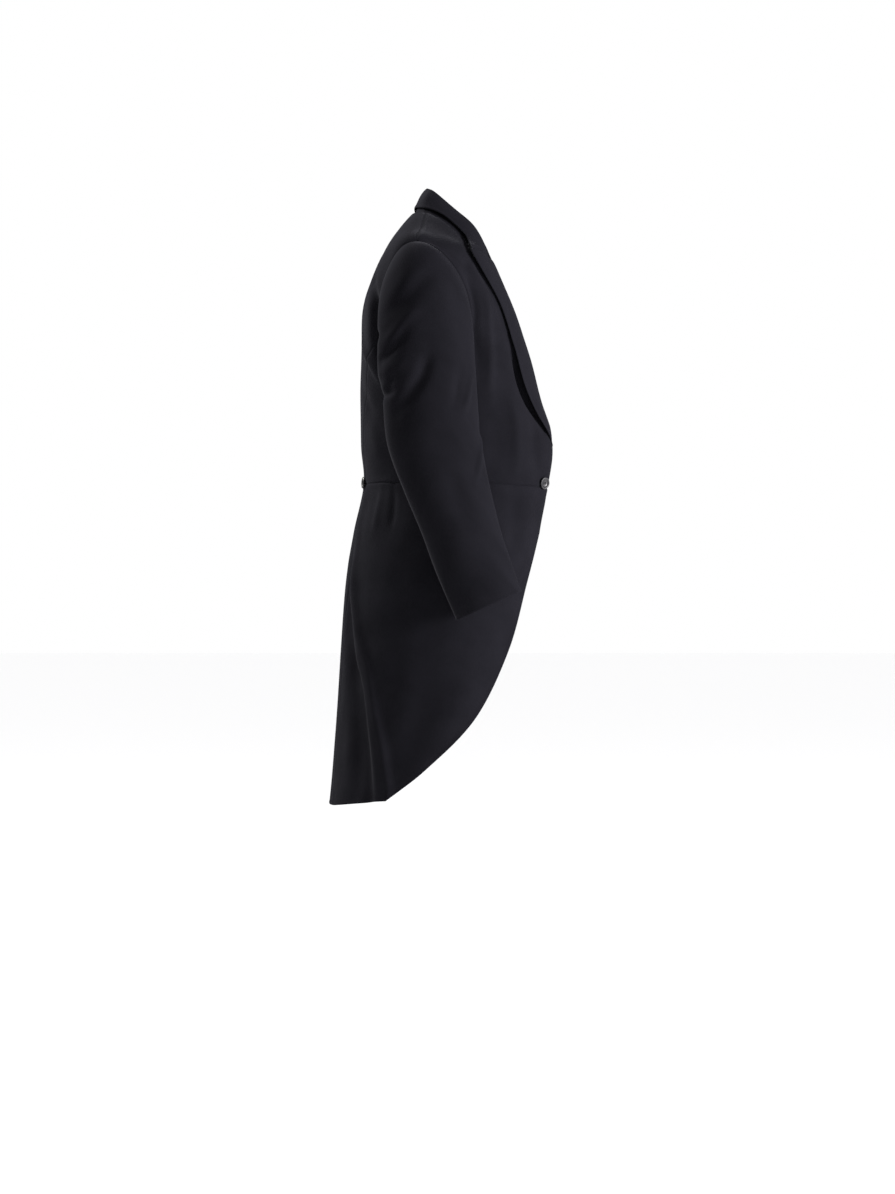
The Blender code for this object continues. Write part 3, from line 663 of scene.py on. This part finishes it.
def roughen(tree, shader, source, low, high):
    """Makes the shader's roughness vary between two values."""
    rough = add_node(tree, "ShaderNodeMapRange")
    rough.inputs["To Min"].default_value = low
    rough.inputs["To Max"].default_value = high
    tree.links.new(source, rough.inputs["Value"])
    tree.links.new(rough.outputs["Result"], shader.inputs["Roughness"])


def wool(name, seed):
    """Black wool: a fine twill with a little nap, its colour uneven by a shade."""
    material, tree, shader = new_material(name)
    shader.inputs["Specular IOR Level"].default_value = 0.0
    shader.inputs["Sheen Weight"].default_value = 0.012
    shader.inputs["Sheen Roughness"].default_value = 0.32
    shader.inputs["Sheen Tint"].default_value = (0.80, 0.80, 0.92, 1)
    cut = add_node(tree, "ShaderNodeTexCoord")
    turn = add_node(tree, "ShaderNodeMapping")
    turn.inputs["Location"].default_value = (seed * 0.37, seed * 0.53, 0)
    turn.inputs["Rotation"].default_value = (0, 0, math.radians(27))
    tree.links.new(cut.outputs["UV"], turn.inputs["Vector"])
    twill = add_node(tree, "ShaderNodeTexWave", Scale=330.0, Distortion=0.6, Detail=1.0, Detail_Scale=1.2)
    tree.links.new(turn.outputs["Vector"], twill.inputs["Vector"])
    fibre = add_node(tree, "ShaderNodeTexNoise", Scale=1400.0, Detail=3.0, Roughness=0.6)
    patch = add_node(tree, "ShaderNodeTexNoise", Scale=16.0, Detail=3.0, Roughness=0.55)
    slub = add_node(tree, "ShaderNodeTexNoise", Scale=240.0, Detail=2.0, Roughness=0.5)
    for noise in (fibre, patch, slub):
        tree.links.new(turn.outputs["Vector"], noise.inputs["Vector"])
    blend = add_node(tree, "ShaderNodeMix", data_type="FLOAT")
    blend.inputs["Factor"].default_value = 0.45
    tree.links.new(patch.outputs["Fac"], blend.inputs["A"])
    tree.links.new(fibre.outputs["Fac"], blend.inputs["B"])
    shade(tree, shader, blend.outputs["Result"],
          (0.28, (0.0025, 0.00245, 0.0031)), (0.74, (0.0041, 0.0040, 0.0051)))
    roughen(tree, shader, slub.outputs["Fac"], 0.70, 0.92)
    weave = add_node(tree, "ShaderNodeBump", Strength=0.30, Distance=0.0002)
    nap = add_node(tree, "ShaderNodeBump", Strength=0.35, Distance=0.0003)
    tree.links.new(twill.outputs["Fac"], weave.inputs["Height"])
    tree.links.new(slub.outputs["Fac"], nap.inputs["Height"])
    tree.links.new(weave.outputs["Normal"], nap.inputs["Normal"])
    tree.links.new(nap.outputs["Normal"], shader.inputs["Normal"])
    return material


def horn():
    """Polished dark button stuff with a faint grain."""
    material, tree, shader = new_material("dark_horn")
    shader.inputs["Specular IOR Level"].default_value = 0.12
    shader.inputs["Coat Weight"].default_value = 0.02
    shader.inputs["Coat Roughness"].default_value = 0.12
    cut = add_node(tree, "ShaderNodeTexCoord")
    grain = add_node(tree, "ShaderNodeTexNoise", Scale=180.0, Detail=5.0, Roughness=0.6, Distortion=1.5)
    tree.links.new(cut.outputs["Object"], grain.inputs["Vector"])
    shade(tree, shader, grain.outputs["Fac"],
          (0.35, (0.0020, 0.0020, 0.0023)), (0.7, (0.0080, 0.0080, 0.0092)))
    roughen(tree, shader, grain.outputs["Fac"], 0.30, 0.50)
    return material


def thread():
    """Twisted buttonhole thread."""
    material, tree, shader = new_material("black_thread")
    shader.inputs["Roughness"].default_value = 0.7
    shader.inputs["Specular IOR Level"].default_value = 0.08
    cut = add_node(tree, "ShaderNodeTexCoord")
    twist = add_node(tree, "ShaderNodeTexWave", Scale=900.0, Distortion=0.4)
    tree.links.new(cut.outputs["Object"], twist.inputs["Vector"])
    shade(tree, shader, twist.outputs["Fac"], (0, (0.0030, 0.0030, 0.0038)), (1, (0.0070, 0.0070, 0.0088)))
    twisted = add_node(tree, "ShaderNodeBump", Strength=0.5, Distance=0.0002)
    tree.links.new(twist.outputs["Fac"], twisted.inputs["Height"])
    tree.links.new(twisted.outputs["Normal"], shader.inputs["Normal"])
    return material


def mesh_object(name, points, faces, finish):
    mesh = bpy.data.meshes.new(name)
    mesh.from_pydata([tuple(p) for p in points], [], faces)
    mesh.materials.append(finish)
    mesh.shade_smooth()
    made = bpy.data.objects.new(name, mesh)
    bpy.context.scene.collection.objects.link(made)
    return made


def tube(path, radius, around=10):
    """Points and faces of a tube along a path, its ends closed."""
    path = [Vector(p) for p in path]
    points, faces = [], []
    for i, place in enumerate(path):
        ahead = (path[min(i + 1, len(path) - 1)] - path[max(i - 1, 0)]).normalized()
        across = ahead.cross(Vector((0, 0, 1)) if abs(ahead.z) < 0.9 else Vector((1, 0, 0))).normalized()
        up = across.cross(ahead)
        for j in range(around):
            angle = 2 * math.pi * j / around
            points.append(place + (across * math.cos(angle) + up * math.sin(angle)) * radius)
    for i in range(len(path) - 1):
        for j in range(around):
            a, b = i * around + j, i * around + (j + 1) % around
            faces.append((a, a + around, b + around, b))
    faces.append(tuple(range(around)))
    faces.append(tuple(reversed(range(len(points) - around, len(points)))))
    return points, faces


def joined(parts):
    points, faces = [], []
    for some_points, some_faces in parts:
        faces += [tuple(i + len(points) for i in face) for face in some_faces]
        points += some_points
    return points, faces


BUTTON_PROFILE = [
    # radius, height
    (0.0000, 0.0014), (0.0032, 0.0014), (0.0052, 0.0016), (0.0064, 0.0023), (0.0073, 0.0032),
    (0.0082, 0.0036), (0.0091, 0.0034), (0.0098, 0.0027), (0.0100, 0.0019), (0.0097, 0.0011),
    (0.0088, 0.0004), (0.0072, 0.0000), (0.0000, 0.0000),
]
BUTTON_SEGMENTS = 72
BUTTON_THICK = 0.0036
HOLE_AT = 0.0017  # each hole's middle from the button's middle lines
HOLE_RADIUS = 0.0008
STRAND_RADIUS, STRAND_APART = 0.00027, 0.00028  # the thread, and half the distance between a pair's strands
STRAND_LOW, STRAND_RISE, STRAND_ARCH = 0.0009, 0.0011, 0.7  # it dips into the holes and arches between them
SHANK_RADIUS, SHANK_SUNK, SHANK_ABOVE = 0.0017, 0.0006, 0.0002  # the shank, and how far its ends are hidden
HIP_BUTTON = (0.141, WAIST + 0.03, 0.0018, 0)  # turn, level, shank, tilt in degrees
FRONT_BUTTON = (1.78, WAIST + 0.1, 0.0020, 15)
BUTTONHOLE = (1.80, WAIST + 0.1)  # turn, level
SLIT_HALF, SLIT_WIDE = 0.0095, 0.0017
EYE_WIDER, EYE_FROM = 1.45, 0.55  # the front end is this much wider, from this cosine on
SLIT_SQUARE = 0.6  # under 1, the sides are straighter than an ellipse's
STITCH_RADIUS, STITCH_LIFT = 0.00075, 0.0004


def button(node, turn, level, shank, tilt, side):
    """A dished four-hole button, sewn on with crossed thread over a wound shank."""
    base = form(turn, level)
    normal = outward(turn, level)
    faces_to = Matrix.Rotation(math.radians(tilt), 3, "Z") @ Vector(normal)
    faces_to.x *= side
    base, normal = Vector(base * [side, 1, 1]), Vector(normal * [side, 1, 1])
    middle = base + normal * (shank + BUTTON_THICK / 2) - faces_to * BUTTON_THICK / 2
    place = Matrix.Translation(middle) @ faces_to.to_track_quat("Z", "Y").to_matrix().to_4x4()
    points = [Vector((0, 0, BUTTON_PROFILE[0][1]))]
    for radius, height in BUTTON_PROFILE[1:-1]:
        for i in range(BUTTON_SEGMENTS):
            angle = 2 * math.pi * i / BUTTON_SEGMENTS
            points.append(Vector((radius * math.cos(angle), radius * math.sin(angle), height)))
    points.append(Vector((0, 0, 0)))
    rings, n = len(BUTTON_PROFILE) - 2, BUTTON_SEGMENTS
    faces = [(0, 1 + i, 1 + (i + 1) % n) for i in range(n)]
    for ring in range(rings - 1):
        for i in range(n):
            a, b = 1 + ring * n + i, 1 + ring * n + (i + 1) % n
            faces.append((a, a + n, b + n, b))
    last = 1 + (rings - 1) * n
    faces += [(last + (i + 1) % n, last + i, len(points) - 1) for i in range(n)]
    disc = mesh_object(f"{node}_disc", points, faces, HORN)
    cutters = []
    for x in (-HOLE_AT, HOLE_AT):
        for y in (-HOLE_AT, HOLE_AT):
            cutter = mesh_object("cut", *tube([(x, y, -0.002), (x, y, 0.006)], HOLE_RADIUS, 20), HORN)
            cutters.append(cutter)
            cut = disc.modifiers.new("hole", "BOOLEAN")
            cut.operation = "DIFFERENCE"
            cut.object = cutter
    bpy.context.view_layer.update()
    whole = bpy.data.meshes.new_from_object(disc.evaluated_get(bpy.context.evaluated_depsgraph_get()))
    whole.materials.clear()
    whole.materials.append(HORN)
    disc.modifiers.clear()
    disc.data = whole
    for cutter in cutters:
        bpy.data.objects.remove(cutter)
    disc.matrix_world = place
    strands = []
    for x in (-HOLE_AT, HOLE_AT):
        for shift in (-STRAND_APART, STRAND_APART):
            arc = [(x + shift, HOLE_AT * math.cos(a), STRAND_LOW + STRAND_RISE * math.sin(a) ** STRAND_ARCH)
                   for a in np.linspace(0.02, math.pi - 0.02, 13)]
            strands.append(tube(arc, STRAND_RADIUS, 8))
    strands.append(tube([(0, 0, -shank - SHANK_SUNK), (0, 0, SHANK_ABOVE)], SHANK_RADIUS, 20))
    sewn = mesh_object(f"{node}_thread", *joined(strands), THREAD)
    sewn.matrix_world = place
    for piece, finish in ((disc, "button"), (sewn, "wool")):
        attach(piece, "root")
    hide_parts(node)


def buttonhole(name, turn, level, body_folds):
    """A worked buttonhole on the left front: a raised ring of stitches round a dark slit."""
    outline = []
    for i in range(BUTTON_SEGMENTS):
        angle = 2 * math.pi * i / BUTTON_SEGMENTS
        eye = EYE_WIDER if math.cos(angle) > EYE_FROM else 1.0
        out = math.copysign(abs(math.sin(angle)) ** SLIT_SQUARE, math.sin(angle))
        outline.append((SLIT_HALF * math.cos(angle), SLIT_WIDE * eye * out))
    base, normal = form(turn, level), outward(turn, level)
    base = base + normal * float(fold_lift(base[None], body_folds, form)[0])
    ahead = form(turn + 0.01, level) - form(turn - 0.01, level)
    ahead = ahead / np.linalg.norm(ahead)
    up = np.cross(ahead, normal)
    ring = []
    for i in range(len(outline) + 1):
        a, b = outline[i % len(outline)]
        ring.append(tuple(base + ahead * a + up * b + normal * STITCH_LIFT))
    sewn = mesh_object(name, *tube(ring, STITCH_RADIUS, 8), THREAD)
    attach(sewn, "root")


WOOL = {word: wool(f"black_wool_{word}", seed) for word, seed in (("left", 1), ("right", 2))}
HORN = horn()
THREAD = thread()

PIECES = [
    # node, surface, (low, high, bottom, top, spacing), facing,
    # borders at low, high, bottom and top, folds, base, flat, area, held
    ("back", back_surface, (0, 1, HEM, NECK, SPACING), 1,
     ("vent", "seam", "edge", "neck"), "all", whole_form, (0.23, 1.06), 0.099, "hung"),
    ("side_body", side_surface, (0, 1, WAIST, SEAM_AT_ARMHOLE - TIP, SPACING), 1,
     ("seam", "seam", "waist", "seam"), "body", form, (0.19, 0.27), 0.044, "hung"),
    ("forepart", fore_surface, (0, 1, WAIST, NECK, SPACING), 1,
     ("seam", "edge", "waist", "neck"), "body", form, (0.27, 0.50), 0.085, "hung"),
    ("skirt", skirt_surface, (0, 1, HEM, WAIST, SPACING), 1,
     ("seam", "edge", "edge", "waist"), "skirt", skirt_form, (0.47, 0.56), 0.177, "hung"),
    ("lapel", lapel_surface, (-WRAP, 1, LAPEL_EDGE[0][0], SHOULDER, LAPEL_SPACING), -1,
     ("open", "edge", "edge", "gorge"), "body", form, (0.12, 0.36), 0.027, "folded"),
    ("top_sleeve", sleeve_surface, (HIND_SEAM - 360, FORE_SEAM, 0, 1, SPACING), -1,
     ("seam", "seam", "seam", "edge"), "sleeve", sleeve_surface, (0.30, 0.66), 0.140, "hung"),
    ("under_sleeve", sleeve_surface, (FORE_SEAM, HIND_SEAM, 0, 1, SPACING), -1,
     ("seam", "seam", "seam", "edge"), "sleeve", sleeve_surface, (0.17, 0.53), 0.069, "hung"),
]

for word in ("left", "right"):
    body, skirt, sleeve = FOLDS[word]
    body = body + UNDER_COLLAR
    choice = {"body": body, "skirt": skirt, "sleeve": sleeve, "all": body + skirt}
    for node, surface, spans, facing, borders, folds, base, flat, area, held in PIECES:
        cloth_piece(node, word, surface, spans, facing, borders, choice[folds], base,
                    WOOL[word])
    button(f"hip_button_{word}", *HIP_BUTTON, 1 if word == "left" else -1)
cloth_piece("collar", "", collar_surface, (-2, 2, 0, 1, COLLAR_SPACING), -1,
            ("gorge", "gorge", "stand", "edge"), [], form, WOOL["right"])
button("front_button", *FRONT_BUTTON, -1)
buttonhole("buttonhole_left", *BUTTONHOLE, BODY_LEFT)

# Floor, light and camera
FLOOR_Z = -1.60
FLOOR_HALF = 40
corners = [(x * FLOOR_HALF, y * FLOOR_HALF, FLOOR_Z) for x, y in ((-1, -1), (1, -1), (1, 1), (-1, 1))]
pale, _, pale_shader = new_material("pale_floor")
pale_shader.inputs["Base Color"].default_value = (0.97, 0.97, 0.975, 1)
pale_shader.inputs["Roughness"].default_value = 0.9
pale_shader.inputs["Specular IOR Level"].default_value = 0.1
plane = mesh_object("floor", corners, [(0, 1, 2, 3)], pale)

world = bpy.data.worlds.new("studio")
world.use_nodes = True
world.node_tree.nodes["Background"].inputs["Color"].default_value = (1.0, 1.0, 1.0, 1)
world.node_tree.nodes["Background"].inputs["Strength"].default_value = 1.0
bpy.context.scene.world = world

AIM = Vector((0, 0, -0.5))
LIGHTS = [
    # name, place, size, watts, colour
    ("front", (-1.5, -3.2, 0.0), 1.1, 700, (1.0, 0.98, 1.0)),
    ("behind", (0.4, 1.1, 0.8), 0.7, 235, (1.0, 1.0, 0.92)),
    ("above", (-0.6, -0.2, 2.4), 1.4, 12, (1.0, 1.0, 1.0)),
]
for name, place, size, watts, colour in LIGHTS:
    data = bpy.data.lights.new(name, "AREA")
    data.color = colour
    data.size = size
    data.energy = watts
    lamp = bpy.data.objects.new(name, data)
    lamp.location = place
    lamp.rotation_euler = (AIM - Vector(place)).to_track_quat("-Z", "Y").to_euler()
    bpy.context.scene.collection.objects.link(lamp)

PICTURE_HEIGHT = 1194
FOCAL_PIXELS = 2674
SENSOR = 36
CAMERA_PLACE = (-4.6, -0.0129, -0.6605)
camera_data = bpy.data.cameras.new("photo_view")
camera_data.sensor_width = SENSOR
camera_data.lens = SENSOR * FOCAL_PIXELS / PICTURE_HEIGHT
camera = bpy.data.objects.new("photo_view", camera_data)
camera.location = CAMERA_PLACE
camera.rotation_euler = (math.pi / 2, 0, -math.pi / 2)
bpy.context.scene.collection.objects.link(camera)
bpy.context.scene.camera = camera
bpy.context.scene.view_settings.view_transform = "Standard"
